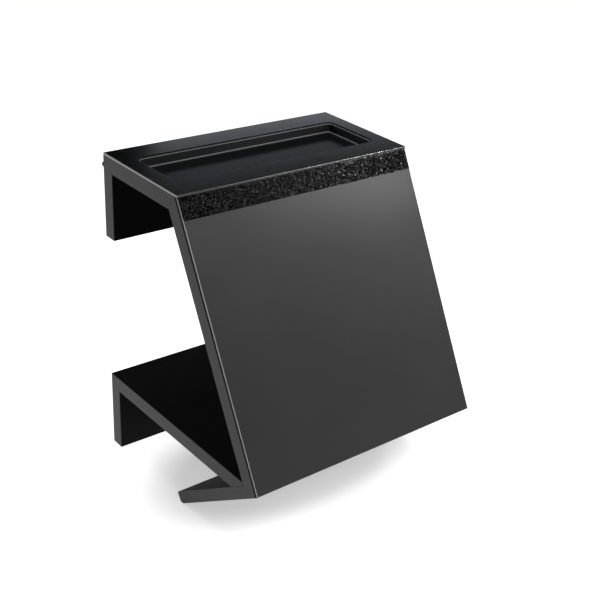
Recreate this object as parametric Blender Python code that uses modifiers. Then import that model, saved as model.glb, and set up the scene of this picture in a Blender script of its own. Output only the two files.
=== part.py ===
"""Salon styling station: boards folded into a zig-zag, with a tool tray set into the top.

The station stands on its lower back rail and on the edge of its foot, against a wall.
+X is to the right, the sloping front faces -Y and +Z is up. The origin is on the floor,
below the middle of the station. All lengths are in metres.
"""
import math

import bmesh
import bpy
from mathutils import Matrix, Vector

# Overall form: depths are from the wall side of the back rails, heights from the floor
WIDTH = 0.600
HEIGHT = 0.723
TOP_DEPTH = 0.280
NOSE_DEPTH = 0.573
NOSE_HEIGHT = 0.180
FOOT_DEPTH = 0.303
FOOT_FLAT = 0.010
SHELF_HEIGHT = 0.188
UPPER_RAIL_HEIGHT = 0.190

# Boards and sheets
BOARD = 0.034
FOOT_BOARD = 0.028
COVER = 0.005
COVER_ARRIS = 0.001
FACING = 0.007
FACING_ARRIS = 0.0015
BAND = 0.002
BAND_ARRIS = 0.0005
BAND_HEIGHT = 0.047
EDGING = 0.001

# Tool tray and its cut-out in the cover
TRAY_SIDE_MARGIN = 0.038
TRAY_BACK_MARGIN = 0.064
TRAY_FRONT_MARGIN = 0.056
TRAY_CORNER = 0.016
TRAY_SHEET = 0.0025
TRAY_LEDGE = 0.004
TRAY_DEPTH = 0.021
TRAY_DRAFT = 0.007
TRAY_BEND = 0.0008
TRAY_FLOOR_RADIUS = 0.003
CORNER_STEPS = 6
FILLET_STEPS = 4

# Dowels in the board joints
DOWEL_DIAMETER = 0.008
DOWEL_LENGTH = 0.024
DOWEL_CHAMFER = 0.001
DOWEL_END_ROOM = 0.001
DOWEL_MARGIN = 0.070
DOWELS_PER_JOINT = 3
DOWEL_SIDES = 16

# Rubber pads that hold the upper rail off the wall
PAD_DIAMETER = 0.013
PAD_TIP_DIAMETER = 0.012
PAD_THICKNESS = 0.009
PAD_INSET = 0.007
PAD_DROP = 0.024
PAD_SIDES = 24

# Clearance between pieces that touch, the distance at which an outline's rims are merged,
# and the angle between faces from which an edge counts as sharp
FIT = 0.0003
WELD = 0.000005
SHARP = math.radians(40)


def clear_scene():
    for item in list(bpy.data.objects):
        bpy.data.objects.remove(item, do_unlink=True)


clear_scene()
parts = bpy.data.collections.new("styling_station")
cutters = bpy.data.collections.new("cutters")
for collection in (parts, cutters):
    bpy.context.scene.collection.children.link(collection)

station = bpy.data.objects.new("station_origin", None)
parts.objects.link(station)


def finish(name, colour, roughness, metallic=0.0):
    """Principled material of one colour."""
    material = bpy.data.materials.new(name)
    material.use_nodes = True
    shader = material.node_tree.nodes["Principled BSDF"]
    shader.inputs["Base Color"].default_value = (*colour, 1.0)
    shader.inputs["Roughness"].default_value = roughness
    shader.inputs["Metallic"].default_value = metallic
    return material


CARCASS_BLACK = finish("carcass_black", (0.012, 0.012, 0.012), 0.55)
EDGE_GREY = finish("edge_grey", (0.055, 0.055, 0.055), 0.50)
COVER_BLACK = finish("cover_black", (0.016, 0.017, 0.019), 0.25)
TRAY_BLACK = finish("tray_black", (0.014, 0.015, 0.017), 0.30)
FACING_GREY = finish("facing_grey", (0.045, 0.045, 0.045), 0.45)
BAND_BLACK = finish("band_black", (0.020, 0.020, 0.020), 0.35)
DOWEL_BEECH = finish("dowel_beech", (0.55, 0.36, 0.20), 0.70)
PAD_RUBBER = finish("pad_rubber", (0.010, 0.010, 0.010), 0.85)


def add_part(name, mesh, material):
    """Named piece of the station, its mesh given its material."""
    piece = bpy.data.objects.new(name, mesh)
    mesh.materials.clear()
    mesh.materials.append(material)
    parts.objects.link(piece)
    piece.parent = station
    return piece


def add_cutter(name, mesh):
    cutter = bpy.data.objects.new(name, mesh)
    cutter.hide_render = True
    cutter.display_type = "WIRE"
    cutters.objects.link(cutter)
    cutter.parent = station
    return cutter


def cut(piece, cutter):
    """Take the cutter's form out of the piece."""
    hollow = piece.modifiers.new(cutter.name, "BOOLEAN")
    hollow.operation = "DIFFERENCE"
    hollow.solver = "EXACT"
    hollow.object = cutter


def ease(piece, width, steps=2):
    """Round the sharp edges of a piece."""
    bevel = piece.modifiers.new("eased_edges", "BEVEL")
    bevel.width = width
    bevel.segments = steps
    bevel.limit_method = "ANGLE"
    bevel.angle_limit = SHARP


def sheet_mesh(name, outlines, thickness):
    """Flat outlines, the inner ones as holes, filled and extruded evenly about local Z = 0."""
    curve = bpy.data.curves.new(name, "CURVE")
    curve.dimensions = "2D"
    curve.fill_mode = "BOTH"
    curve.extrude = thickness / 2
    for outline in outlines:
        spline = curve.splines.new("POLY")
        spline.points.add(len(outline) - 1)
        for point, corner in zip(spline.points, outline):
            point.co = (corner.x, corner.y, 0.0, 1.0)
        spline.use_cyclic_u = True
    flat = bpy.data.objects.new(name, curve)
    bpy.context.scene.collection.objects.link(flat)
    graph = bpy.context.evaluated_depsgraph_get()
    mesh = bpy.data.meshes.new_from_object(flat.evaluated_get(graph))
    bpy.data.objects.remove(flat)
    bpy.data.curves.remove(curve)
    mesh.name = name
    form = bmesh.new()
    form.from_mesh(mesh)
    bmesh.ops.remove_doubles(form, verts=form.verts, dist=WELD)
    bmesh.ops.recalc_face_normals(form, faces=form.faces)
    form.to_mesh(mesh)
    form.free()
    return mesh


# A side-profile outline lies in local XY. This turn carries local X to world Y,
# local Y to world Z and the extrusion to world X.
ACROSS = (math.pi / 2, 0.0, math.pi / 2)


def plank(name, outline, left, right, material):
    """Side-profile outline extruded from one X to another."""
    piece = add_part(name, sheet_mesh(name, [outline], right - left), material)
    piece.rotation_euler = ACROSS
    piece.location.x = (left + right) / 2
    return piece


# Lines of the side profile, each a point and a direction in (Y, Z)
def level(height):
    return Vector((0.0, height)), Vector((1.0, 0.0))


def upright(place):
    return Vector((place, 0.0)), Vector((0.0, 1.0))


def beside(line, offset):
    """Parallel line, moved by a 2D offset."""
    return line[0] + offset, line[1]


def meet(first, second):
    """Point where two lines cross."""
    (start, along), (other, across) = first, second
    reach = (other - start).cross(across) / along.cross(across)
    return start + along * reach


def trimmed(outline, allowances):
    """The outline with each side, from its corner to the next, moved in by its own allowance."""
    count = len(outline)
    turn = sum(outline[i - 1].cross(outline[i]) for i in range(count))
    sides = []
    for i, allowance in enumerate(allowances):
        along = (outline[(i + 1) % count] - outline[i]).normalized()
        inward = Vector((-along.y, along.x)) * math.copysign(1.0, turn)
        sides.append((outline[i] + inward * allowance, along))
    return [meet(sides[i - 1], sides[i]) for i in range(count)]


# The wall side of the rails, placed so that the pads and the nose are equally far from Y = 0
back = (NOSE_DEPTH - PAD_THICKNESS) / 2
nose = Vector((back - NOSE_DEPTH, NOSE_HEIGHT))
top_front = Vector((back - TOP_DEPTH, HEIGHT))
foot_tip = Vector((back - FOOT_DEPTH, 0.0))
foot_heel = Vector((back - FOOT_DEPTH + FOOT_FLAT, 0.0))

up_front = (top_front - nose).normalized()
into_front = Vector((up_front.y, -up_front.x))
along_foot = (foot_tip - nose).normalized()
into_foot = Vector((-along_foot.y, along_foot.x))

floor_line = level(0.0)
top_face = level(HEIGHT - COVER)
top_under = level(HEIGHT - COVER - BOARD)
rail_back = upright(back)
rail_front = upright(back - BOARD)
upper_rail_end = level(HEIGHT - UPPER_RAIL_HEIGHT)
shelf_face = level(SHELF_HEIGHT)
shelf_under = level(SHELF_HEIGHT - BOARD)
facing_face = (nose, up_front)
band_face = beside(facing_face, into_front * -BAND)
front_face = beside(facing_face, into_front * FACING)
front_inside = beside(facing_face, into_front * (FACING + BOARD))
foot_under = (nose, along_foot)
foot_upper = beside(foot_under, into_foot * FOOT_BOARD)
foot_end = (foot_heel, into_foot)

# Fold corners of the carcass, on its outer and inner faces
rear_fold = (meet(rail_back, top_face), meet(rail_front, top_under))
front_fold = (meet(front_face, top_face), meet(front_inside, top_under))
nose_fold = (meet(front_face, foot_under), meet(front_inside, foot_upper))
shelf_fold = (meet(rail_back, shelf_face), meet(rail_front, shelf_under))
shelf_seat = (nose_fold[1], meet(foot_upper, shelf_under))

# Each board: its nominal outline, then for each side a joint (J), a free face (.) or an edging (E)
BOARDS = {
    "top_board": (
        [rear_fold[0], rear_fold[1], front_fold[1], front_fold[0]],
        "J.J.",
    ),
    "upper_back_rail": (
        [rear_fold[0], rear_fold[1], meet(rail_front, upper_rail_end), meet(rail_back, upper_rail_end)],
        "J.E.",
    ),
    "front_board": (
        [front_fold[0], front_fold[1], nose_fold[1], nose_fold[0]],
        "J.J.",
    ),
    "foot_board": (
        [nose_fold[0], nose_fold[1], meet(foot_upper, foot_end), foot_heel, foot_tip],
        "J.E..",
    ),
    "lower_shelf": (
        [meet(front_inside, shelf_face), *shelf_seat, shelf_fold[1], shelf_fold[0]],
        "JJ.J.",
    ),
    "lower_back_rail": (
        [shelf_fold[0], shelf_fold[1], meet(rail_front, floor_line), meet(rail_back, floor_line)],
        "J.E.",
    ),
}
BOARD_ALLOWANCE = {"J": FIT / 2, ".": 0.0, "E": EDGING + FIT}
EDGING_ALLOWANCE = {"J": FIT / 2, ".": 0.0, "E": 0.0}

half_width = WIDTH / 2
board_reach = half_width - EDGING - FIT

boards = {}
for name, (outline, sides) in BOARDS.items():
    board_outline = trimmed(outline, [BOARD_ALLOWANCE[side] for side in sides])
    boards[name] = plank(name, board_outline, -board_reach, board_reach, CARCASS_BLACK)
    end_outline = trimmed(outline, [EDGING_ALLOWANCE[side] for side in sides])
    for hand, outer in (("left", -half_width), ("right", half_width)):
        inner = outer - math.copysign(EDGING, outer)
        plank(f"{name}_edging_{hand}", end_outline, min(outer, inner), max(outer, inner), EDGE_GREY)


def long_edging(name, edge, inward, first_face, second_face):
    """Strip along a board's lower edge, between the edging of its two ends."""
    behind = beside(edge, inward * EDGING)
    outline = [
        meet(edge, first_face),
        meet(edge, second_face),
        meet(behind, second_face),
        meet(behind, first_face),
    ]
    plank(name, outline, -board_reach, board_reach, EDGE_GREY)


UP = Vector((0.0, 1.0))
long_edging("upper_back_rail_edging_lower", upper_rail_end, UP, rail_front, rail_back)
long_edging("lower_back_rail_edging_lower", floor_line, UP, rail_front, rail_back)
long_edging("foot_board_edging_rear", foot_end, -along_foot, foot_upper, floor_line)

# Sheets on the carcass: the facing over the front board, the band on the facing
facing_back = beside(front_face, into_front * -FIT)
cover_under = level(HEIGHT - COVER - FIT)
facing_outline = [
    meet(facing_face, cover_under),
    meet(facing_back, cover_under),
    meet(facing_back, foot_under),
    nose,
]
facing = plank("front_facing", facing_outline, -half_width, half_width, FACING_GREY)
ease(facing, FACING_ARRIS)

band_back = beside(facing_face, into_front * -FIT)
band_top = meet(facing_face, cover_under)
band_foot = (band_top - up_front * BAND_HEIGHT, into_front)
band_outline = [
    meet(band_face, cover_under),
    meet(band_back, cover_under),
    meet(band_back, band_foot),
    meet(band_face, band_foot),
]
band = plank("trim_band", band_outline, -half_width, half_width, BAND_BLACK)
ease(band, BAND_ARRIS)


def rounded_rectangle(half_x, half_y, radius, centre_y):
    """Outline of a rectangle with round corners, anticlockwise, centred on X = 0."""
    points = []
    for quarter in range(4):
        side_x = 1 if quarter in (0, 3) else -1
        side_y = 1 if quarter in (0, 1) else -1
        pivot = Vector((side_x * (half_x - radius), centre_y + side_y * (half_y - radius)))
        for step in range(CORNER_STEPS + 1):
            angle = (quarter + step / CORNER_STEPS) * math.pi / 2
            points.append(pivot + Vector((math.cos(angle), math.sin(angle))) * radius)
    return points


# Cover: a flat sheet with the tray's cut-out, its front edge over the band's face
cut_half_x = half_width - TRAY_SIDE_MARGIN
cut_back = back - TRAY_BACK_MARGIN
cut_front = back - TOP_DEPTH + TRAY_FRONT_MARGIN
cut_half_y = (cut_back - cut_front) / 2
cut_centre = (cut_back + cut_front) / 2
cover_front = meet(band_face, cover_under).x
cover_outline = [
    Vector((-half_width, cover_front)),
    Vector((half_width, cover_front)),
    Vector((half_width, back)),
    Vector((-half_width, back)),
]
cut_outline = rounded_rectangle(cut_half_x, cut_half_y, TRAY_CORNER, cut_centre)
cover_thickness = COVER - FIT
cover = add_part(
    "top_cover", sheet_mesh("top_cover", [cover_outline, cut_outline], cover_thickness), COVER_BLACK
)
cover.location.z = HEIGHT - cover_thickness / 2
ease(cover, COVER_ARRIS)

# Tray: a formed sheet that hangs by its ledge on the top board, inside the cover's cut-out
ledge_top = HEIGHT - COVER + FIT + TRAY_SHEET
tray_floor = HEIGHT - TRAY_DEPTH
rim_radius = TRAY_BEND + TRAY_SHEET


def tray_sections():
    """Inset from the ledge's outer edge, and height, of each section down the tray's upper face."""
    sections = [(0.0, ledge_top), (TRAY_LEDGE, ledge_top)]
    lean = math.atan2(TRAY_DRAFT, ledge_top - tray_floor)
    sweep = math.pi / 2 - lean
    for step in range(1, FILLET_STEPS + 1):
        angle = sweep * step / FILLET_STEPS
        sections.append((
            TRAY_LEDGE + rim_radius * math.sin(angle),
            ledge_top - rim_radius * (1 - math.cos(angle)),
        ))
    rim_inset, rim_height = sections[-1]
    straight_drop = rim_height - tray_floor - TRAY_FLOOR_RADIUS * (1 - math.cos(sweep))
    wall_foot = rim_inset + straight_drop * math.tan(lean)
    for step in range(FILLET_STEPS + 1):
        angle = sweep * (1 - step / FILLET_STEPS)
        sections.append((
            wall_foot + TRAY_FLOOR_RADIUS * (math.sin(sweep) - math.sin(angle)),
            tray_floor + TRAY_FLOOR_RADIUS * (1 - math.cos(angle)),
        ))
    return sections


def ring(form, inset, height):
    """Closed loop of edges of the tray's outline, one inset in and one height up."""
    outline = rounded_rectangle(
        cut_half_x - FIT - inset, cut_half_y - FIT - inset, TRAY_CORNER - FIT, cut_centre
    )
    corners = [form.verts.new((point.x, point.y, height)) for point in outline]
    return [form.edges.new((corners[i - 1], corners[i])) for i in range(len(corners))]


form = bmesh.new()
rings = [ring(form, inset, height) for inset, height in tray_sections()]
for upper, lower in zip(rings, rings[1:]):
    bmesh.ops.bridge_loops(form, edges=upper + lower)
bmesh.ops.edgeloop_fill(form, edges=rings[-1])
bmesh.ops.recalc_face_normals(form, faces=form.faces)
tray_mesh = bpy.data.meshes.new("tool_tray")
form.to_mesh(tray_mesh)
form.free()
tray_mesh.shade_smooth()
tray_mesh.set_sharp_from_angle(angle=SHARP)
tray = add_part("tool_tray", tray_mesh, TRAY_BLACK)
shell = tray.modifiers.new("sheet", "SOLIDIFY")
shell.thickness = TRAY_SHEET
shell.offset = -1.0
shell.use_even_offset = True

# Pocket in the top board that takes the tray below its ledge
pocket_outline = rounded_rectangle(
    cut_half_x - TRAY_LEDGE, cut_half_y - TRAY_LEDGE, TRAY_CORNER, cut_centre
)
pocket_floor = tray_floor - TRAY_SHEET - FIT
pocket_depth = HEIGHT - pocket_floor
pocket = add_cutter("tray_pocket", sheet_mesh("tray_pocket", [pocket_outline], pocket_depth))
pocket.location.z = pocket_floor + pocket_depth / 2
cut(boards["top_board"], pocket)


def cylinder_mesh(name, places, radius, length):
    """Mesh of one closed cylinder at each place, along the place's local Z."""
    form = bmesh.new()
    for place in places:
        bmesh.ops.create_cone(
            form, cap_ends=True, segments=DOWEL_SIDES,
            radius1=radius, radius2=radius, depth=length, matrix=place,
        )
    mesh = bpy.data.meshes.new(name)
    form.to_mesh(mesh)
    form.free()
    return mesh


def dowel_joint(name, seam, first, second):
    """Dowels square to a seam, half in each of the two boards that meet there."""
    outer, inner = seam
    middle = (outer + inner) / 2
    along = (inner - outer).normalized()
    axis = Vector((0.0, -along.y, along.x))
    turn = Vector((0.0, 0.0, 1.0)).rotation_difference(axis).to_matrix().to_4x4()
    pitch = (WIDTH - 2 * DOWEL_MARGIN) / (DOWELS_PER_JOINT - 1)
    places = []
    for i in range(DOWELS_PER_JOINT):
        x = -half_width + DOWEL_MARGIN + i * pitch
        places.append(Matrix.Translation((x, middle.x, middle.y)) @ turn)
    bore_mesh = cylinder_mesh(
        f"{name}_bores", places, DOWEL_DIAMETER / 2 + FIT, DOWEL_LENGTH + 2 * DOWEL_END_ROOM
    )
    bores = add_cutter(bore_mesh.name, bore_mesh)
    cut(boards[first], bores)
    cut(boards[second], bores)
    for i, place in enumerate(places):
        label = f"dowel_{name}_{i + 1}"
        mesh = cylinder_mesh(label, [Matrix.Identity(4)], DOWEL_DIAMETER / 2, DOWEL_LENGTH)
        mesh.shade_smooth()
        mesh.set_sharp_from_angle(angle=SHARP)
        dowel = add_part(label, mesh, DOWEL_BEECH)
        dowel.matrix_world = place
        ease(dowel, DOWEL_CHAMFER, steps=1)


dowel_joint("rear_fold", rear_fold, "top_board", "upper_back_rail")
dowel_joint("front_fold", front_fold, "top_board", "front_board")
dowel_joint("nose_fold", nose_fold, "front_board", "foot_board")
dowel_joint("shelf_seat", shelf_seat, "lower_shelf", "foot_board")
dowel_joint("shelf_fold", shelf_fold, "lower_shelf", "lower_back_rail")

# Pads on the wall side of the upper rail, one near each end
for hand, side in (("left", -1), ("right", 1)):
    form = bmesh.new()
    bmesh.ops.create_cone(
        form, cap_ends=True, segments=PAD_SIDES, radius1=PAD_DIAMETER / 2,
        radius2=PAD_TIP_DIAMETER / 2, depth=PAD_THICKNESS - FIT,
    )
    pad_mesh = bpy.data.meshes.new(f"wall_pad_{hand}")
    form.to_mesh(pad_mesh)
    form.free()
    pad_mesh.shade_smooth()
    pad_mesh.set_sharp_from_angle(angle=SHARP)
    pad = add_part(f"wall_pad_{hand}", pad_mesh, PAD_RUBBER)
    pad.rotation_euler = (-math.pi / 2, 0.0, 0.0)
    pad.location = (
        side * (half_width - PAD_INSET),
        back + FIT + (PAD_THICKNESS - FIT) / 2,
        HEIGHT - COVER - PAD_DROP,
    )
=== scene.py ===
"""Looks of the salon styling station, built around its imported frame.

Lengths are in metres. +X is to the right, the sloping front faces -Y and +Z is up.
"""
import math

import bpy
from mathutils import Matrix, Vector


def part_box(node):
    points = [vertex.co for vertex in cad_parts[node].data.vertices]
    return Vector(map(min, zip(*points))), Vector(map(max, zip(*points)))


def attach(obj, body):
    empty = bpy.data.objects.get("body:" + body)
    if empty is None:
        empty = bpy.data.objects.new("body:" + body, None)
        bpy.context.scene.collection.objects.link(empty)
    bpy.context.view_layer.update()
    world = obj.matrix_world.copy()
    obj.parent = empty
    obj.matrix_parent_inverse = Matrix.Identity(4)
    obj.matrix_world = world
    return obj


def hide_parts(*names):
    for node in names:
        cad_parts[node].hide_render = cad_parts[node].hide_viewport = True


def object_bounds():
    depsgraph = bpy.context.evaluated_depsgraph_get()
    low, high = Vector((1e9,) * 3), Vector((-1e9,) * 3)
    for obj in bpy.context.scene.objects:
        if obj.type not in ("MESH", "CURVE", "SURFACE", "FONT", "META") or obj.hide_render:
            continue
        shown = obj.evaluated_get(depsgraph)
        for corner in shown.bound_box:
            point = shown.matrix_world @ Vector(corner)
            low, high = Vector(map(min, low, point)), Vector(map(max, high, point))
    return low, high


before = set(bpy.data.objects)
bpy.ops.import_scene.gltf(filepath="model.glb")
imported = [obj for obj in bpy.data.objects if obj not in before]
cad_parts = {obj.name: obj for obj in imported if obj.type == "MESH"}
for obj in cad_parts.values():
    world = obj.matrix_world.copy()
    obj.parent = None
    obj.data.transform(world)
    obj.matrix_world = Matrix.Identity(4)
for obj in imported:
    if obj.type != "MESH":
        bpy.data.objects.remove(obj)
cad_low, cad_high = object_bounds()
scene = bpy.context.scene
scene.view_settings.view_transform = "Standard"

# Camera
# A long lens, to the left of the front and above the top, as in the photograph.
# Its place and turn were fitted to the station's straight edges. The photograph is cropped, so that
# the lens axis lies to the right of its middle and below it, by pixels of its longer side.
EYE = (-1.3852, -1.7191, 1.5227)
HEADING = math.radians(42.383)
LOOK_DOWN = math.radians(28.576)
ROLL = math.radians(4.511)
LENS_MM = 67.75
SENSOR_MM = 36.0
PHOTO_SIDE = 591
AXIS_RIGHT = 55.75
AXIS_DOWN = 46.45

camera = bpy.data.objects.new("camera", bpy.data.cameras.new("camera"))
camera.data.sensor_width = SENSOR_MM
camera.data.lens = LENS_MM
camera.data.shift_x = -AXIS_RIGHT / PHOTO_SIDE
camera.data.shift_y = AXIS_DOWN / PHOTO_SIDE
heading = Matrix.Rotation(-HEADING, 4, "Z")
tilt = Matrix.Rotation(math.pi / 2 - LOOK_DOWN, 4, "X")
roll = Matrix.Rotation(ROLL, 4, "Z")
camera.matrix_world = Matrix.Translation(EYE) @ heading @ tilt @ roll
scene.collection.objects.link(camera)
scene.camera = camera


# Floor
# A wide sheet of white studio paper. Below the station the lamps light it, so that it takes the
# shadow, and further out it is plain white.
FLOOR_SIZE = 60.0
PAPER_WHITE = "#EFEFEF"
SHADE_MIDDLE = (0.0, -0.01)
SHADE_REACH = (0.35, 0.195)
GLOW_NEAR = 0.52
GLOW_FAR = 1.0
GLOW_START = 0.75
GLOW_END = 1.35


def linear(srgb_hex):
    """Linear RGBA of an sRGB hex colour."""
    channels = [int(srgb_hex[i:i + 2], 16) / 255 for i in (1, 3, 5)]
    curve = [c / 12.92 if c <= 0.04045 else ((c + 0.055) / 1.055) ** 2.4 for c in channels]
    return (*curve, 1.0)


def add_node(tree, kind, inputs=None, **settings):
    """Shader node with its settings; each input is given a value or is linked from a socket."""
    made = tree.nodes.new(kind)
    for name, value in settings.items():
        setattr(made, name, value)
    for socket, value in (inputs or {}).items():
        if isinstance(value, bpy.types.NodeSocket):
            tree.links.new(value, made.inputs[socket])
        else:
            made.inputs[socket].default_value = value
    return made


def new_material(name):
    """Material with an empty node tree and its output node."""
    material = bpy.data.materials.new(name)
    material.use_nodes = True
    tree = material.node_tree
    tree.nodes.clear()
    return material, tree, tree.nodes.new("ShaderNodeOutputMaterial")


bpy.ops.object.select_all(action="DESELECT")
bpy.ops.mesh.primitive_plane_add(size=FLOOR_SIZE)
floor = bpy.context.object
floor.name = "floor"
paper, tree, output = new_material("studio_paper")
place = add_node(tree, "ShaderNodeTexCoord").outputs["Object"]
place = add_node(
    tree, "ShaderNodeMapping", {
        "Vector": place, "Location": (*SHADE_MIDDLE, 0.0), "Scale": (*SHADE_REACH, 1.0),
    }, vector_type="TEXTURE",
).outputs["Vector"]
reach = add_node(tree, "ShaderNodeVectorMath", {0: place}, operation="LENGTH").outputs["Value"]
glow = add_node(
    tree, "ShaderNodeMapRange", {
        "Value": reach, "From Min": GLOW_START, "From Max": GLOW_END,
        "To Min": GLOW_NEAR, "To Max": GLOW_FAR,
    }, interpolation_type="SMOOTHSTEP",
).outputs["Result"]
path = add_node(tree, "ShaderNodeLightPath").outputs
seen = add_node(
    tree, "ShaderNodeMath", {0: path["Is Camera Ray"], 1: path["Is Glossy Ray"]}, operation="MAXIMUM"
).outputs["Value"]
seen = add_node(
    tree, "ShaderNodeMath", {0: seen, 1: path["Is Transmission Ray"]}, operation="MAXIMUM"
).outputs["Value"]
strength = add_node(tree, "ShaderNodeMath", {0: glow, 1: seen}, operation="MULTIPLY").outputs["Value"]
shine = add_node(tree, "ShaderNodeEmission", {"Strength": strength}).outputs["Emission"]
matt = add_node(tree, "ShaderNodeBsdfDiffuse", {"Color": linear(PAPER_WHITE)}).outputs["BSDF"]
both = add_node(tree, "ShaderNodeAddShader", {0: matt, 1: shine}).outputs["Shader"]
tree.links.new(both, output.inputs["Surface"])
floor.data.materials.append(paper)


# Light
# Soft studio lamps in a dim room, and two small spots that pick out the top of the front.
# Behind the floor the camera sees plain white. Gloss mirrors that white only low down, as on a low
# backdrop, and the dim room above it.
ROOM_GREY = "#0A0A0B"
BACKDROP_WHITE = "#FFFFFF"
# Sines of the angles above the horizon where the mirrored white begins to fade and where it has gone.
BACKDROP_TOP = 0.06
BACKDROP_FADE = 0.14
# Place, point it is turned to, size, brightness, where white is 1, and turn about that line in degrees.
SOFTBOXES = {
    "front_high": ((0.00, -2.00, 2.40), (0.0, -0.1, 0.4), (1.6, 1.0), 4.2, 0.0),
    "front_high_left": ((-1.70, -1.60, 2.40), (0.0, -0.1, 0.4), (1.2, 1.0), 0.9, 0.0),
    "front_right_strip": ((2.06, -1.70, 1.79), (0.2, -0.1, 0.6), (0.18, 1.2), 14.0, 0.0),
    "close_right": ((0.50, -0.50, 1.20), (0.25, -0.05, 0.60), (0.4, 0.4), 2.6, 0.0),
    "right": ((2.60, 0.30, 1.20), (0.3, 0.0, 0.5), (1.0, 1.2), 2.7, 0.0),
    "overhead_back": ((0.00, 0.90, 2.60), (0.0, 0.1, 0.3), (2.0, 1.2), 1.4, 0.0),
    "back_fill": ((-0.90, 2.60, 1.70), (0.0, 0.2, 0.4), (1.6, 1.2), 1.6, 0.0),
    "back_strip": ((2.46, 3.15, 1.73), (0.0, 0.14, 0.72), (1.62, 0.34), 1.15, 11.0),
}
COOL_WHITE = "#EEF2FF"
# Place, point it is turned to, cone in degrees and watts.
SPOTS = {
    "corner_spot": ((1.87, -1.76, 1.66), (0.22, -0.03, 0.725), 7.0, 38.0),
    "band_spot": ((1.56, -1.78, 1.72), (-0.03, -0.01, 0.695), 4.4, 18.0),
}
SPOT_RADIUS = 0.08
SPOT_SOFTNESS = 1.0


def aimed(place, target):
    """Placement of a lamp that looks from one point to another."""
    turn = (Vector(target) - Vector(place)).to_track_quat("-Z", "Y")
    return Matrix.Translation(place) @ turn.to_matrix().to_4x4()


room = bpy.data.worlds.new("studio_room")
scene.world = room
room.use_nodes = True
tree = room.node_tree
path = add_node(tree, "ShaderNodeLightPath").outputs
seen = add_node(
    tree, "ShaderNodeMath",
    {0: path["Is Camera Ray"], 1: path["Is Transmission Ray"]}, operation="MAXIMUM",
).outputs["Value"]
outward = add_node(tree, "ShaderNodeTexCoord").outputs["Generated"]
rise = add_node(tree, "ShaderNodeSeparateXYZ", {"Vector": outward}).outputs["Z"]
low = add_node(
    tree, "ShaderNodeMapRange",
    {"Value": rise, "From Min": BACKDROP_TOP, "From Max": BACKDROP_FADE, "To Min": 1.0, "To Max": 0.0},
).outputs["Result"]
mirrored = add_node(
    tree, "ShaderNodeMath", {0: path["Is Glossy Ray"], 1: low}, operation="MULTIPLY"
).outputs["Value"]
seen = add_node(tree, "ShaderNodeMath", {0: seen, 1: mirrored}, operation="MAXIMUM").outputs["Value"]
colour = add_node(
    tree, "ShaderNodeMix",
    {"Factor": seen, "A": linear(ROOM_GREY), "B": linear(BACKDROP_WHITE)}, data_type="RGBA",
).outputs["Result"]
tree.links.new(colour, tree.nodes["Background"].inputs["Color"])

for name, (place, target, (width, height), brightness, spin) in SOFTBOXES.items():
    lamp = bpy.data.lights.new(name, "AREA")
    lamp.shape = "RECTANGLE"
    lamp.size = width
    lamp.size_y = height
    lamp.energy = brightness * math.pi * width * height
    softbox = bpy.data.objects.new(name, lamp)
    softbox.matrix_world = aimed(place, target) @ Matrix.Rotation(math.radians(spin), 4, "Z")
    softbox.visible_camera = False
    scene.collection.objects.link(softbox)
bpy.data.lights["back_strip"].color = linear(COOL_WHITE)[:3]

for name, (place, target, cone, watts) in SPOTS.items():
    lamp = bpy.data.lights.new(name, "SPOT")
    lamp.energy = watts
    lamp.spot_size = math.radians(cone)
    lamp.spot_blend = SPOT_SOFTNESS
    lamp.shadow_soft_size = SPOT_RADIUS
    spot = bpy.data.objects.new(name, lamp)
    spot.matrix_world = aimed(place, target)
    scene.collection.objects.link(spot)


# Carcass boards
# Particle boards faced with black melamine, mitred where they fold and glued on dowels.
# The press plate leaves the melamine with a fine pearl that dulls its gloss.
BOARDS = ("top_board", "upper_back_rail", "front_board", "foot_board", "lower_shelf", "lower_back_rail")
MELAMINE_BLACK = "#060606"
MELAMINE_SMOOTHEST = 0.52
MELAMINE_DULLEST = 0.66
MELAMINE_SPECULAR = 0.09
# The real pearl is finer. It is drawn this coarse so that it shows.
PEARL_MM = 2.0
PEARL_DETAIL = 2.0
PEARL_BUMP = 0.25
PEARL_DEPTH = 0.0002
PER_MM = 1000.0

melamine, tree, output = new_material("black_melamine")
place = add_node(tree, "ShaderNodeTexCoord").outputs["Object"]
pearl = add_node(
    tree, "ShaderNodeTexNoise", {"Vector": place, "Scale": PER_MM / PEARL_MM, "Detail": PEARL_DETAIL}
).outputs["Fac"]
gloss = add_node(
    tree, "ShaderNodeMapRange",
    {"Value": pearl, "To Min": MELAMINE_SMOOTHEST, "To Max": MELAMINE_DULLEST},
).outputs["Result"]
relief = add_node(
    tree, "ShaderNodeBump", {"Height": pearl, "Strength": PEARL_BUMP, "Distance": PEARL_DEPTH}
).outputs["Normal"]
shader = add_node(
    tree, "ShaderNodeBsdfPrincipled", {
        "Base Color": linear(MELAMINE_BLACK), "Roughness": gloss, "Normal": relief,
        "Specular IOR Level": MELAMINE_SPECULAR,
    },
)
tree.links.new(shader.outputs["BSDF"], output.inputs["Surface"])
for name in BOARDS:
    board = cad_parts[name]
    board.data.materials.clear()
    board.data.materials.append(melamine)


# Edging
# Strips of dark grey ABS, extruded, glued to the boards' cut edges and trimmed flush.
# The trimmer leaves a small round along each free edge, which catches the light, and extrusion
# leaves faint streaks in the gloss.
EDGING_GREY = "#2C2C2C"
EDGING_SMOOTHEST = 0.38
EDGING_DULLEST = 0.52
EDGING_DARKEST = 0.94
EDGING_PALEST = 1.06
EDGING_SPECULAR = 0.25
EDGING_ARRIS = 0.0008
ARRIS_STEPS = 3
SAW_MARGIN = 0.005
SAME_PLACE = 0.001
TOUCHING = 0.0001
MESH_DIGITS = 6
STREAK_MM = 6.0
STREAK_DETAIL = 3.0
STREAK_STRETCH = 0.06
SMOOTH_UNDER = math.radians(40)
EDGES_ONLY = (False, True, False)
EDGINGS = sorted(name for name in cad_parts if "_edging_" in name)


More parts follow.
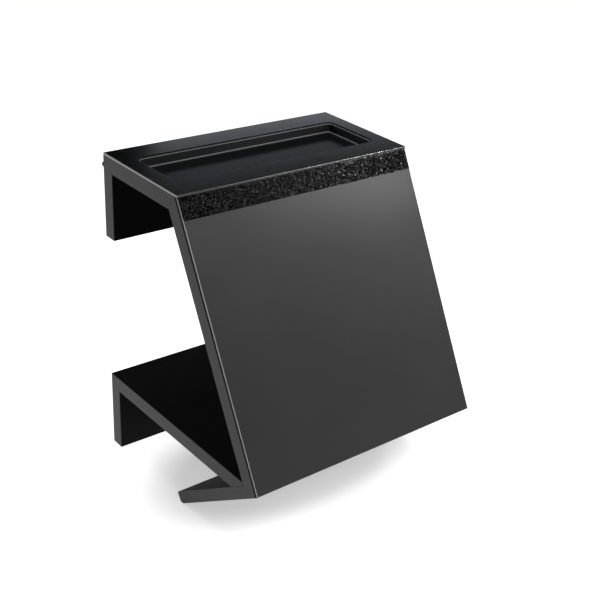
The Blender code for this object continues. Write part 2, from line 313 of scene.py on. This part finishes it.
def profile(node):
    """Corners of a CAD node's convex side profile, in (Y, Z), anticlockwise seen from +X."""
    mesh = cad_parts[node].data
    points = sorted({tuple(round(axis, MESH_DIGITS) for axis in v.co[1:]) for v in mesh.vertices})
    halves = []
    for run in (points, points[::-1]):
        half = []
        for point in map(Vector, run):
            while len(half) > 1 and (half[-1] - half[-2]).cross(point - half[-1]) < SAME_PLACE ** 2:
                half.pop()
            half.append(point)
        halves.append(half[:-1])
    return halves[0] + halves[1]


def sawn_block(name, low_x, high_x, corners):
    """Block sawn square at two X places and along each side of a profile in (Y, Z)."""
    across = [c.x for c in corners]
    upwards = [c.y for c in corners]
    low = Vector((low_x, min(across) - SAW_MARGIN, min(upwards) - SAW_MARGIN))
    high = Vector((high_x, max(across) + SAW_MARGIN, max(upwards) + SAW_MARGIN))
    bpy.ops.object.select_all(action="DESELECT")
    bpy.ops.mesh.primitive_cube_add(size=1, location=(low + high) / 2, scale=high - low)
    block = bpy.context.object
    block.name = name
    block.data.name = name
    bpy.ops.object.transform_apply()
    bpy.ops.object.mode_set(mode="EDIT")
    for corner, following in zip(corners, corners[1:] + corners[:1]):
        side = (following - corner).normalized()
        bpy.ops.mesh.select_all(action="SELECT")
        bpy.ops.mesh.bisect(
            plane_co=(0, corner.x, corner.y), plane_no=(0, side.y, -side.x),
            use_fill=True, clear_outer=True,
        )
    bpy.ops.object.mode_set(mode="OBJECT")
    return block


def pick_edges(piece, wanted):
    """Edit mode with only the wanted edges selected; wanted is asked with an edge's two ends."""
    mesh = piece.data
    for group in (mesh.vertices, mesh.edges, mesh.polygons):
        group.foreach_set("select", [False] * len(group))
    for edge in mesh.edges:
        first, second = (mesh.vertices[i].co for i in edge.vertices)
        edge.select = bool(wanted(first, second))
    bpy.context.tool_settings.mesh_select_mode = EDGES_ONLY
    bpy.ops.object.mode_set(mode="EDIT")


def smooth(piece):
    """Smooth shading over a piece's rounds, with its flat faces kept flat."""
    bpy.ops.object.select_all(action="DESELECT")
    bpy.context.view_layer.objects.active = piece
    piece.select_set(True)
    bpy.ops.object.shade_smooth_by_angle(angle=SMOOTH_UNDER)
    flatten = piece.modifiers.new("flat_faces", "WEIGHTED_NORMAL")
    flatten.keep_sharp = True
    bpy.ops.object.modifier_apply(modifier=flatten.name)


def set_on_station(piece, material, slot, *nodes):
    """Give a finished piece its material and put it in place of its CAD nodes."""
    piece.data.materials.clear()
    piece.data.materials.append(material)
    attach(piece, "root")
    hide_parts(*nodes)


abs_grey, tree, output = new_material("grey_abs_edging")
place = add_node(tree, "ShaderNodeTexCoord").outputs["Object"]
drawn = add_node(tree, "ShaderNodeMapping", {"Vector": place, "Scale": (1.0, STREAK_STRETCH, 1.0)})
streak = add_node(
    tree, "ShaderNodeTexNoise",
    {"Vector": drawn.outputs["Vector"], "Scale": PER_MM / STREAK_MM, "Detail": STREAK_DETAIL},
).outputs["Fac"]
gloss = add_node(
    tree, "ShaderNodeMapRange", {"Value": streak, "To Min": EDGING_SMOOTHEST, "To Max": EDGING_DULLEST}
).outputs["Result"]
shade = add_node(
    tree, "ShaderNodeMapRange", {"Value": streak, "To Min": EDGING_DARKEST, "To Max": EDGING_PALEST}
).outputs["Result"]
colour = add_node(
    tree, "ShaderNodeMix",
    {"Factor": 1.0, "A": linear(EDGING_GREY), "B": shade}, data_type="RGBA", blend_type="MULTIPLY",
).outputs["Result"]
shader = add_node(
    tree, "ShaderNodeBsdfPrincipled",
    {"Base Color": colour, "Roughness": gloss, "Specular IOR Level": EDGING_SPECULAR},
)
tree.links.new(shader.outputs["BSDF"], output.inputs["Surface"])

edging_profiles = {name: profile(name) for name in EDGINGS}


def meets_neighbour(name, first, second):
    """Whether a side of an edging strip lies against the side of another strip."""
    for other, corners in edging_profiles.items():
        if other == name or other.rsplit("_", 1)[1] != name.rsplit("_", 1)[1]:
            continue
        near = [any((corner - end).length < SAME_PLACE for corner in corners) for end in (first, second)]
        if all(near):
            return True
    return False


for name in EDGINGS:
    low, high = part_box(name)
    corners = edging_profiles[name]
    strip = sawn_block(f"{name}_strip", low.x, high.x, corners)
    if name.endswith(("_left", "_right")):
        outer = low.x if name.endswith("_left") else high.x
        free = [
            (first, second) for first, second in zip(corners, corners[1:] + corners[:1])
            if not meets_neighbour(name, first, second)
        ]

        def on_free_side(a, b):
            """Whether an edge runs along a free side on the strip's outer face."""
            if abs(a.x - outer) > TOUCHING or abs(b.x - outer) > TOUCHING:
                return False
            for first, second in free:
                ends = [min((Vector((v.y, v.z)) - c).length for c in (first, second)) for v in (a, b)]
                if max(ends) < TOUCHING:
                    return True
            return False

        pick_edges(strip, on_free_side)
        bpy.ops.mesh.bevel(offset=EDGING_ARRIS, segments=ARRIS_STEPS, affect="EDGES", clamp_overlap=True)
        bpy.ops.object.mode_set(mode="OBJECT")
    smooth(strip)
    set_on_station(strip, abs_grey, "edging", name)


# Dowels
# Plain beech pins, glued half in each of two boards. They are shut inside the joints.
# Turned beech shows short dark flecks along its grain.
BEECH_PALE = "#C9A27C"
BEECH_DARK = "#B1855C"
BEECH_ROUGHNESS = 0.65
BEECH_FLECK_MM = 1.2
FLECK_DETAIL = 4.0
FLECK_STRETCH = 0.15

beech, tree, output = new_material("turned_beech")
place = add_node(tree, "ShaderNodeTexCoord").outputs["Object"]
along = add_node(tree, "ShaderNodeMapping", {"Vector": place, "Scale": (1.0, FLECK_STRETCH, 1.0)})
fleck = add_node(
    tree, "ShaderNodeTexNoise",
    {"Vector": along.outputs["Vector"], "Scale": PER_MM / BEECH_FLECK_MM, "Detail": FLECK_DETAIL},
).outputs["Fac"]
colour = add_node(
    tree, "ShaderNodeMix",
    {"Factor": fleck, "A": linear(BEECH_DARK), "B": linear(BEECH_PALE)}, data_type="RGBA",
).outputs["Result"]
shader = add_node(
    tree, "ShaderNodeBsdfPrincipled", {"Base Color": colour, "Roughness": BEECH_ROUGHNESS}
)
tree.links.new(shader.outputs["BSDF"], output.inputs["Surface"])
for name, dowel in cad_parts.items():
    if name.startswith("dowel_"):
        dowel.data.materials.clear()
        dowel.data.materials.append(beech)


# Tool tray
# One sheet of black ABS, vacuum formed: a ledge, drafted walls and a flat floor, with soft radii.
# Its ledge hangs on the top board, inside the cover's cut-out. Forming leaves a satin skin and dulls the
# stretched walls. The tight bends of the rim and floor are painted pale grey, a painted highlight.
TRAY_SHEET = 0.0025
TRAY_LEDGE = 0.004
TRAY_DRAFT = 0.007
TRAY_CORNER = 0.0157
TRAY_CORNER_STEPS = 10
RIM_ROUND = 0.0022
FLOOR_ROUND = 0.0030
ROUND_STEPS = 6
TRAY_BLACK = "#0B0C0F"
BEND_HIGHLIGHT_GREY = "#7C7E80"
# Smoothest and dullest roughness, and specular level.
SKIN_FINISH = (0.28, 0.36, 0.36)
STRETCHED_FINISH = (0.40, 0.50, 0.12)
FORMED_MM = 14.0
FORMED_DETAIL = 3.0
WALL_LEAN = 0.40
BEND_LEANS = (0.50, 0.93)


def formed_abs(name, srgb_hex, smoothest, dullest, specular):
    """Material of a part of the formed sheet, with the slow clouds of gloss that forming leaves."""
    material, tree, output = new_material(name)
    place = add_node(tree, "ShaderNodeTexCoord").outputs["Object"]
    cloud = add_node(
        tree, "ShaderNodeTexNoise",
        {"Vector": place, "Scale": PER_MM / FORMED_MM, "Detail": FORMED_DETAIL},
    ).outputs["Fac"]
    gloss = add_node(
        tree, "ShaderNodeMapRange", {"Value": cloud, "To Min": smoothest, "To Max": dullest}
    ).outputs["Result"]
    shader = add_node(
        tree, "ShaderNodeBsdfPrincipled",
        {"Base Color": linear(srgb_hex), "Roughness": gloss, "Specular IOR Level": specular},
    )
    tree.links.new(shader.outputs["BSDF"], output.inputs["Surface"])
    return material


def paint(piece, material, wanted):
    """Give another material to the wanted ones of a finished piece's faces."""
    piece.data.materials.append(material)
    for face in piece.data.polygons:
        if wanted(face):
            face.material_index = len(piece.data.materials) - 1


tray_low, tray_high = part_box("tool_tray")
tray_drop = tray_high.z - tray_low.z - TRAY_SHEET
bpy.ops.object.select_all(action="DESELECT")
bpy.ops.mesh.primitive_plane_add(size=1)
tray = bpy.context.object
tray.name = "tool_tray_insert"
tray.data.name = tray.name
tray.location = ((tray_low.x + tray_high.x) / 2, (tray_low.y + tray_high.y) / 2, tray_high.z)
tray.scale = (tray_high.x - tray_low.x, tray_high.y - tray_low.y, 1)
bpy.ops.object.transform_apply()
bpy.ops.object.mode_set(mode="EDIT")
bpy.ops.mesh.select_all(action="SELECT")
bpy.ops.mesh.bevel(offset=TRAY_CORNER, segments=TRAY_CORNER_STEPS, affect="VERTICES")
bpy.ops.mesh.select_all(action="SELECT")
bpy.ops.mesh.inset(thickness=TRAY_LEDGE)
bpy.ops.mesh.inset(thickness=TRAY_DRAFT, depth=-tray_drop)
bpy.ops.object.mode_set(mode="OBJECT")


def level_at(a, b, height):
    """Whether both ends of an edge lie at one height."""
    return abs(a.z - height) < TOUCHING and abs(b.z - height) < TOUCHING


def on_floor_edge(a, b):
    """Whether an edge runs round the tray's floor."""
    return level_at(a, b, tray_high.z - tray_drop)


def inside_outline(v):
    """How far a point near the tray's outer edge lies inside it."""
    reach = [abs(v[i] - (tray_low[i] + tray_high[i]) / 2) for i in (0, 1)]
    past = [reach[i] - (tray_high[i] - tray_low[i]) / 2 + TRAY_CORNER for i in (0, 1)]
    return TRAY_CORNER - math.hypot(max(past[0], 0), max(past[1], 0))


def on_rim(a, b):
    """Whether an edge runs along the ledge's inner side."""
    inside = min(inside_outline(a), inside_outline(b)) > TRAY_LEDGE / 2
    return inside and level_at(a, b, tray_high.z)


for edge_test, rounding in ((on_floor_edge, FLOOR_ROUND), (on_rim, RIM_ROUND)):
    pick_edges(tray, edge_test)
    bpy.ops.mesh.bevel(offset=rounding, segments=ROUND_STEPS, affect="EDGES")
    bpy.ops.object.mode_set(mode="OBJECT")
wall = tray.modifiers.new("sheet", "SOLIDIFY")
wall.thickness = TRAY_SHEET
wall.offset = -1
wall.use_even_offset = True
bpy.ops.object.modifier_apply(modifier=wall.name)
smooth(tray)
set_on_station(tray, formed_abs("black_formed_abs", TRAY_BLACK, *SKIN_FINISH), "tray", "tool_tray")
paint(
    tray, formed_abs("stretched_black_abs", TRAY_BLACK, *STRETCHED_FINISH),
    lambda face: abs(face.normal.z) < WALL_LEAN,
)
# Painted highlight: the faces of the rim and floor rounds are coloured pale grey.
paint(
    tray, formed_abs("painted_highlight_abs_bend", BEND_HIGHLIGHT_GREY, *SKIN_FINISH),
    lambda face: BEND_LEANS[0] < face.normal.z < BEND_LEANS[1],
)


# Top cover
# A sheet of black satin laminate, glued flat on the top board, with a cut-out for the tray. Wiping leaves
# slow clouds in its gloss. Its outer edge is routed round, and dark metal foil on both ends and on the
# front round draws a bright line.
COVER_ROUND = 0.0018
CUT_ARRIS = 0.0004
CUT_GAP = 0.0003
COVER_BLACK = "#060708"
COVER_SMOOTHEST = 0.14
COVER_DULLEST = 0.22
RUB_MM = 45.0
RUB_DETAIL = 4.0
HAZE_MM = 3.0
HAZE_DETAIL = 2.0
HAZE_SHARE = 0.35
FOIL_GREY = "#7A7A7A"
FOIL_SMOOTHEST = 0.24
FOIL_DULLEST = 0.28
# The real brushing is finer. It is drawn this coarse so that it shows.
BRUSHED_MM = 3.0
BRUSHED_DETAIL = 2.0
TOP_FACE = 0.98
END_LEAN = 0.5
ROUND_LEAN = 0.2
FACES_ONLY = (False, False, True)

laminate, tree, output = new_material("black_satin_laminate")
place = add_node(tree, "ShaderNodeTexCoord").outputs["Object"]
rub = add_node(
    tree, "ShaderNodeTexNoise", {"Vector": place, "Scale": PER_MM / RUB_MM, "Detail": RUB_DETAIL}
).outputs["Fac"]
haze = add_node(
    tree, "ShaderNodeTexNoise", {"Vector": place, "Scale": PER_MM / HAZE_MM, "Detail": HAZE_DETAIL}
).outputs["Fac"]
mottle = add_node(
    tree, "ShaderNodeMix", {"Factor": HAZE_SHARE, "A": rub, "B": haze}, data_type="FLOAT"
).outputs["Result"]
gloss = add_node(
    tree, "ShaderNodeMapRange", {"Value": mottle, "To Min": COVER_SMOOTHEST, "To Max": COVER_DULLEST}
).outputs["Result"]
shader = add_node(
    tree, "ShaderNodeBsdfPrincipled", {"Base Color": linear(COVER_BLACK), "Roughness": gloss}
)
tree.links.new(shader.outputs["BSDF"], output.inputs["Surface"])

cover_low, cover_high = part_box("top_cover")
cut_low = tray_low - Vector((CUT_GAP, CUT_GAP, 0))
cut_high = tray_high + Vector((CUT_GAP, CUT_GAP, 0))
bpy.ops.object.select_all(action="DESELECT")
bpy.ops.mesh.primitive_cube_add(
    size=1, location=(cover_low + cover_high) / 2, scale=cover_high - cover_low
)
cover = bpy.context.object
cover.name = "top_cover_sheet"
cover.data.name = cover.name
bpy.ops.object.transform_apply()
bpy.ops.object.mode_set(mode="EDIT")
for point, normal in (
    (cut_low, (1, 0, 0)), (cut_high, (1, 0, 0)), (cut_low, (0, 1, 0)), (cut_high, (0, 1, 0)),
):
    bpy.ops.mesh.select_all(action="SELECT")
    bpy.ops.mesh.bisect(plane_co=point, plane_no=normal)
bpy.ops.mesh.select_all(action="DESELECT")
bpy.ops.object.mode_set(mode="OBJECT")
bpy.context.tool_settings.mesh_select_mode = FACES_ONLY
for face in cover.data.polygons:
    middle = face.center
    face.select = cut_low.x < middle.x < cut_high.x and cut_low.y < middle.y < cut_high.y
bpy.ops.object.mode_set(mode="EDIT")
bpy.ops.mesh.bridge_edge_loops()
bpy.ops.object.mode_set(mode="OBJECT")


def in_cut(v):
    """Whether a point lies on the wall of the cut-out."""
    return (
        cut_low.x - SAME_PLACE < v.x < cut_high.x + SAME_PLACE
        and cut_low.y - SAME_PLACE < v.y < cut_high.y + SAME_PLACE
    )


def on_cut_corner(a, b):
    """Whether an edge stands upright at a corner of the cut-out."""
    return in_cut(a) and in_cut(b) and abs(a.z - b.z) > SAME_PLACE


def on_cut_rim(a, b):
    """Whether an edge runs along the cut-out's upper rim."""
    return in_cut(a) and in_cut(b) and level_at(a, b, cover_high.z)


def on_outer_edge(a, b):
    """Whether an edge runs along an outer side of the cover's top or stands at an outer corner."""
    sides = [(i, corner[i]) for i in (0, 1) for corner in (cover_low, cover_high)]
    shared = [abs(a[i] - side) < TOUCHING and abs(b[i] - side) < TOUCHING for i, side in sides]
    along_top = any(shared) and level_at(a, b, cover_high.z)
    inwards = [min(abs(a[i] - cover_low[i]), abs(a[i] - cover_high[i])) for i in (0, 1)]
    at_corner = max(inwards) < TOUCHING and abs(a.z - b.z) > SAME_PLACE
    return along_top or at_corner


for edge_test, rounding, steps in (
    (on_cut_corner, TRAY_CORNER + CUT_GAP, TRAY_CORNER_STEPS),
    (on_cut_rim, CUT_ARRIS, ARRIS_STEPS),
    (on_outer_edge, COVER_ROUND, ROUND_STEPS),
):
    pick_edges(cover, edge_test)
    bpy.ops.mesh.bevel(offset=rounding, segments=steps, affect="EDGES")
    bpy.ops.object.mode_set(mode="OBJECT")
smooth(cover)
set_on_station(cover, laminate, "cover", "top_cover")

foil, tree, output = new_material("gunmetal_edge_foil")
place = add_node(tree, "ShaderNodeTexCoord").outputs["Object"]
brushed = add_node(
    tree, "ShaderNodeTexNoise", {"Vector": place, "Scale": PER_MM / BRUSHED_MM, "Detail": BRUSHED_DETAIL}
).outputs["Fac"]
gloss = add_node(
    tree, "ShaderNodeMapRange", {"Value": brushed, "To Min": FOIL_SMOOTHEST, "To Max": FOIL_DULLEST}
).outputs["Result"]
shader = add_node(
    tree, "ShaderNodeBsdfPrincipled",
    {"Base Color": linear(FOIL_GREY), "Roughness": gloss, "Metallic": 1.0},
)
tree.links.new(shader.outputs["BSDF"], output.inputs["Surface"])


def foiled(face):
    """Whether a face of the cover lies on one of its ends or on its front round."""
    at_end = abs(face.normal.x) > END_LEAN
    front_round = ROUND_LEAN < face.normal.z < TOP_FACE and face.normal.y < 0
    return (at_end or front_round) and not in_cut(face.center)


paint(cover, foil, foiled)


# Front facing
# A sheet of compact laminate, dark grey on a black core, glued over the whole front board.
# Its edges are eased by hand. Along both ends the eased round is painted pale grey, a painted highlight.
# Wiping leaves broad, faint clouds in its satin.
FACING_SHEET = 0.007
GLUE_GAP = 0.0003
FACING_ARRIS = 0.0022
FACING_GREY = "#3A3A3A"
FACING_SMOOTHEST = 0.36
FACING_DULLEST = 0.46
FACING_DARKEST = 0.95
FACING_PALEST = 1.05
WIPE_MM = 130.0
WIPE_DETAIL = 5.0
WIPE_ROUGHNESS = 0.6
CORE_BLACK = "#030303"
CORE_SPECULAR = 0.05
HIGHLIGHT_EDGE_GREY = "#CFCFCF"
HIGHLIGHT_EDGE_SPECULAR = 0.3
SAWN_SMOOTHEST = 0.45
SAWN_DULLEST = 0.6
SAWN_DARKEST = 0.85
SAWN_PALEST = 1.15
# The real fibres are finer. They are drawn this coarse so that they show.
FIBRE_MM = 1.5
FIBRE_DETAIL = 3.0
END_FACE = 0.95
EASED_FACE = 0.2
# Ways that the front board's outer face and the foot board's lower face look, roughly, in (Y, Z).
FRONT_LOOKS = (-1.0, 0.5)
FOOT_LOOKS = (-0.55, -0.85)


def side_towards(corners, direction):
    """Point, direction and outward normal of the profile's side that looks most nearly one way."""
    sides = []
    for corner, following in zip(corners, corners[1:] + corners[:1]):
        along = (following - corner).normalized()
        sides.append((corner, along, Vector((along.y, -along.x))))
    return max(sides, key=lambda side: side[2].dot(Vector(direction)))


def crossing(point, along, other, across):
    """Point where two lines in (Y, Z) cross."""
    reach = (other - point).cross(across) / along.cross(across)
    return point + along * reach


front_point, front_along, front_out = side_towards(edging_profiles["front_board_edging_left"], FRONT_LOOKS)
foot_point, foot_along = side_towards(edging_profiles["foot_board_edging_left"], FOOT_LOOKS)[:2]
facing_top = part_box("front_facing")[1].z


def sheet_profile(inner, outer, bottom_point, bottom_along):
    """Profile of a sheet on the front, from one distance off the board to another."""
    top_point = Vector((0.0, facing_top))
    top_along = Vector((1.0, 0.0))
    near = front_point + front_out * inner
    far = front_point + front_out * outer
    return [
        crossing(far, front_along, top_point, top_along),
        crossing(far, front_along, bottom_point, bottom_along),
        crossing(near, front_along, bottom_point, bottom_along),
        crossing(near, front_along, top_point, top_along),
    ]


grey_laminate, tree, output = new_material("grey_satin_laminate")
place = add_node(tree, "ShaderNodeTexCoord").outputs["Object"]
wipe = add_node(
    tree, "ShaderNodeTexNoise", {
        "Vector": place, "Scale": PER_MM / WIPE_MM, "Detail": WIPE_DETAIL, "Roughness": WIPE_ROUGHNESS,
    },
).outputs["Fac"]
gloss = add_node(
    tree, "ShaderNodeMapRange", {"Value": wipe, "To Min": FACING_SMOOTHEST, "To Max": FACING_DULLEST}
).outputs["Result"]
shade = add_node(
    tree, "ShaderNodeMapRange", {"Value": wipe, "To Min": FACING_DARKEST, "To Max": FACING_PALEST}
).outputs["Result"]
colour = add_node(
    tree, "ShaderNodeMix",
    {"Factor": 1.0, "A": linear(FACING_GREY), "B": shade}, data_type="RGBA", blend_type="MULTIPLY",
).outputs["Result"]
shader = add_node(tree, "ShaderNodeBsdfPrincipled", {"Base Color": colour, "Roughness": gloss})
tree.links.new(shader.outputs["BSDF"], output.inputs["Surface"])


def sawn_laminate(name, srgb_hex, specular):
    """Material of the laminate's cut edge, dull and a little fibrous from the saw and the file."""
    material, tree, output = new_material(name)
    place = add_node(tree, "ShaderNodeTexCoord").outputs["Object"]
    fibre = add_node(
        tree, "ShaderNodeTexNoise", {"Vector": place, "Scale": PER_MM / FIBRE_MM, "Detail": FIBRE_DETAIL}
    ).outputs["Fac"]
    shade = add_node(
        tree, "ShaderNodeMapRange", {"Value": fibre, "To Min": SAWN_DARKEST, "To Max": SAWN_PALEST}
    ).outputs["Result"]
    colour = add_node(
        tree, "ShaderNodeMix",
        {"Factor": 1.0, "A": linear(srgb_hex), "B": shade}, data_type="RGBA", blend_type="MULTIPLY",
    ).outputs["Result"]
    gloss = add_node(
        tree, "ShaderNodeMapRange", {"Value": fibre, "To Min": SAWN_SMOOTHEST, "To Max": SAWN_DULLEST}
    ).outputs["Result"]
    shader = add_node(
        tree, "ShaderNodeBsdfPrincipled",
        {"Base Color": colour, "Roughness": gloss, "Specular IOR Level": specular},
    )
    tree.links.new(shader.outputs["BSDF"], output.inputs["Surface"])
    return material


facing_corners = sheet_profile(GLUE_GAP, FACING_SHEET, foot_point, foot_along)
sheet = sawn_block("front_facing_sheet", cad_low.x, cad_high.x, facing_corners)


def off_board(v):
    """How far a point stands off the front board's face."""
    return (Vector((v.y, v.z)) - front_point).dot(front_out)


def on_outer_face(a, b):
    """Whether an edge lies on the facing's outer face."""
    return min(off_board(a), off_board(b)) > FACING_SHEET - TOUCHING


pick_edges(sheet, on_outer_face)
bpy.ops.mesh.bevel(offset=FACING_ARRIS, segments=ARRIS_STEPS, affect="EDGES")
bpy.ops.object.mode_set(mode="OBJECT")
smooth(sheet)
set_on_station(sheet, grey_laminate, "facing", "front_facing")
paint(
    sheet, sawn_laminate("black_laminate_core", CORE_BLACK, CORE_SPECULAR),
    lambda face: abs(face.normal.x) > END_FACE,
)
# Painted highlight: the eased rounds along both ends are coloured pale grey.
paint(
    sheet, sawn_laminate("painted_highlight_laminate_edge", HIGHLIGHT_EDGE_GREY, HIGHLIGHT_EDGE_SPECULAR),
    lambda face: EASED_FACE < abs(face.normal.x) <= END_FACE,
)


# Trim band
# A strip of black PVC, embossed with a coarse crystal grain, glued along the top of the facing
# a little short of its ends. Each small facet leans its own way and throws its own glint.
BAND_SHEET = 0.002
BAND_HEIGHT = 0.047
BAND_END_GAP = 0.0020
GRAIN_CELL = 0.0020
GRAIN_DEPTH = 0.0007
GRAIN_SEED = 4
BAND_BLACK = "#040404"
BAND_SMOOTHEST = 0.08
BAND_DULLEST = 0.22
BAND_SPECULAR = 0.10
FACET_MM = 3.0
FACET_DETAIL = 2.0
POINTS_ONLY = (True, False, False)

pvc, tree, output = new_material("embossed_black_pvc")
place = add_node(tree, "ShaderNodeTexCoord").outputs["Object"]
polish = add_node(
    tree, "ShaderNodeTexNoise", {"Vector": place, "Scale": PER_MM / FACET_MM, "Detail": FACET_DETAIL}
).outputs["Fac"]
gloss = add_node(
    tree, "ShaderNodeMapRange", {"Value": polish, "To Min": BAND_SMOOTHEST, "To Max": BAND_DULLEST}
).outputs["Result"]
shader = add_node(
    tree, "ShaderNodeBsdfPrincipled",
    {"Base Color": linear(BAND_BLACK), "Roughness": gloss, "Specular IOR Level": BAND_SPECULAR},
)
tree.links.new(shader.outputs["BSDF"], output.inputs["Surface"])

facing_head = facing_corners[0]
slope_up = front_along if front_along.y > 0 else -front_along
band_foot = facing_head - slope_up * BAND_HEIGHT
grain_level = FACING_SHEET + BAND_SHEET - GRAIN_DEPTH
band_corners = sheet_profile(FACING_SHEET + GLUE_GAP, grain_level, band_foot, front_out)
band_top, band_bottom = band_corners[:2]
band_height = (band_top - band_bottom).length
band_middle = (band_top + band_bottom) / 2
band_width = cad_high.x - cad_low.x - 2 * BAND_END_GAP
bpy.ops.object.select_all(action="DESELECT")
bpy.ops.mesh.primitive_grid_add(
    x_subdivisions=round(band_width / GRAIN_CELL), y_subdivisions=round(band_height / GRAIN_CELL),
    size=1, location=(0, band_middle.x, band_middle.y),
    rotation=(math.atan2(slope_up.y, slope_up.x), 0, 0),
)
band = bpy.context.object
band.name = "trim_band_strip"
band.data.name = band.name
band.scale = (band_width, band_height, 1)
bpy.ops.object.transform_apply()
bpy.context.tool_settings.mesh_select_mode = EDGES_ONLY
bpy.ops.object.mode_set(mode="EDIT")
bpy.ops.mesh.select_all(action="DESELECT")
bpy.ops.mesh.select_non_manifold()
depth = grain_level - FACING_SHEET - GLUE_GAP
bpy.ops.mesh.extrude_edges_move(
    TRANSFORM_OT_translate={"value": (0, -front_out.x * depth, -front_out.y * depth)}
)
bpy.ops.mesh.edge_face_add()
bpy.ops.mesh.select_all(action="SELECT")
bpy.ops.mesh.normals_make_consistent()
bpy.ops.mesh.select_all(action="DESELECT")
bpy.ops.object.mode_set(mode="OBJECT")
bpy.context.tool_settings.mesh_select_mode = POINTS_ONLY
for v in band.data.vertices:
    along = (Vector((v.co.y, v.co.z)) - band_middle).dot(slope_up)
    within = abs(along) < (band_height - GRAIN_CELL) / 2 and abs(v.co.x) < (band_width - GRAIN_CELL) / 2
    v.select = within and off_board(v.co) > grain_level - TOUCHING
bpy.ops.object.mode_set(mode="EDIT")
bpy.ops.transform.vertex_random(offset=GRAIN_DEPTH, seed=GRAIN_SEED)
bpy.ops.mesh.select_all(action="SELECT")
bpy.ops.mesh.quads_convert_to_tris()
bpy.ops.object.mode_set(mode="OBJECT")
bpy.ops.object.shade_flat()
set_on_station(band, pvc, "band", "trim_band")


# Wall pads
# Small bumpers of moulded black rubber, stuck behind the upper rail near its ends.
# They keep the station a few millimetres off the wall. The moulding is matt, with a soft edge.
PAD_SIDES = 48
PAD_TIP_SCALE = 0.92
PAD_ROUND = 0.0012
RUBBER_BLACK = "#0B0B0B"
RUBBER_SMOOTHEST = 0.7
RUBBER_DULLEST = 0.85
RUBBER_SPECULAR = 0.3
# The real grain of the mould is finer. It is drawn this coarse so that it shows.
RUBBER_GRAIN_MM = 1.0
RUBBER_GRAIN_DETAIL = 2.0
RUBBER_BUMP = 0.3
RUBBER_DEPTH = 0.0001

rubber, tree, output = new_material("moulded_rubber")
place = add_node(tree, "ShaderNodeTexCoord").outputs["Object"]
grain = add_node(
    tree, "ShaderNodeTexNoise",
    {"Vector": place, "Scale": PER_MM / RUBBER_GRAIN_MM, "Detail": RUBBER_GRAIN_DETAIL},
).outputs["Fac"]
gloss = add_node(
    tree, "ShaderNodeMapRange", {"Value": grain, "To Min": RUBBER_SMOOTHEST, "To Max": RUBBER_DULLEST}
).outputs["Result"]
relief = add_node(
    tree, "ShaderNodeBump", {"Height": grain, "Strength": RUBBER_BUMP, "Distance": RUBBER_DEPTH}
).outputs["Normal"]
shader = add_node(
    tree, "ShaderNodeBsdfPrincipled", {
        "Base Color": linear(RUBBER_BLACK), "Roughness": gloss, "Normal": relief,
        "Specular IOR Level": RUBBER_SPECULAR,
    },
)
tree.links.new(shader.outputs["BSDF"], output.inputs["Surface"])

for hand in ("left", "right"):
    name = f"wall_pad_{hand}"
    low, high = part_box(name)
    bpy.ops.object.select_all(action="DESELECT")
    bpy.ops.mesh.primitive_cylinder_add(
        vertices=PAD_SIDES, radius=(high.x - low.x) / 2, depth=high.y - low.y,
        location=(low + high) / 2, rotation=(math.pi / 2, 0, 0),
    )
    pad = bpy.context.object
    pad.name = f"{name}_bumper"
    pad.data.name = pad.name
    bpy.ops.object.transform_apply()
    pick_edges(pad, lambda a, b: min(a.y, b.y) > high.y - TOUCHING)
    bpy.ops.transform.resize(value=(PAD_TIP_SCALE, 1, PAD_TIP_SCALE), center_override=(low + high) / 2)
    bpy.ops.mesh.bevel(offset=PAD_ROUND, segments=ARRIS_STEPS, affect="EDGES")
    bpy.ops.object.mode_set(mode="OBJECT")
    smooth(pad)
    set_on_station(pad, rubber, "pad", name)
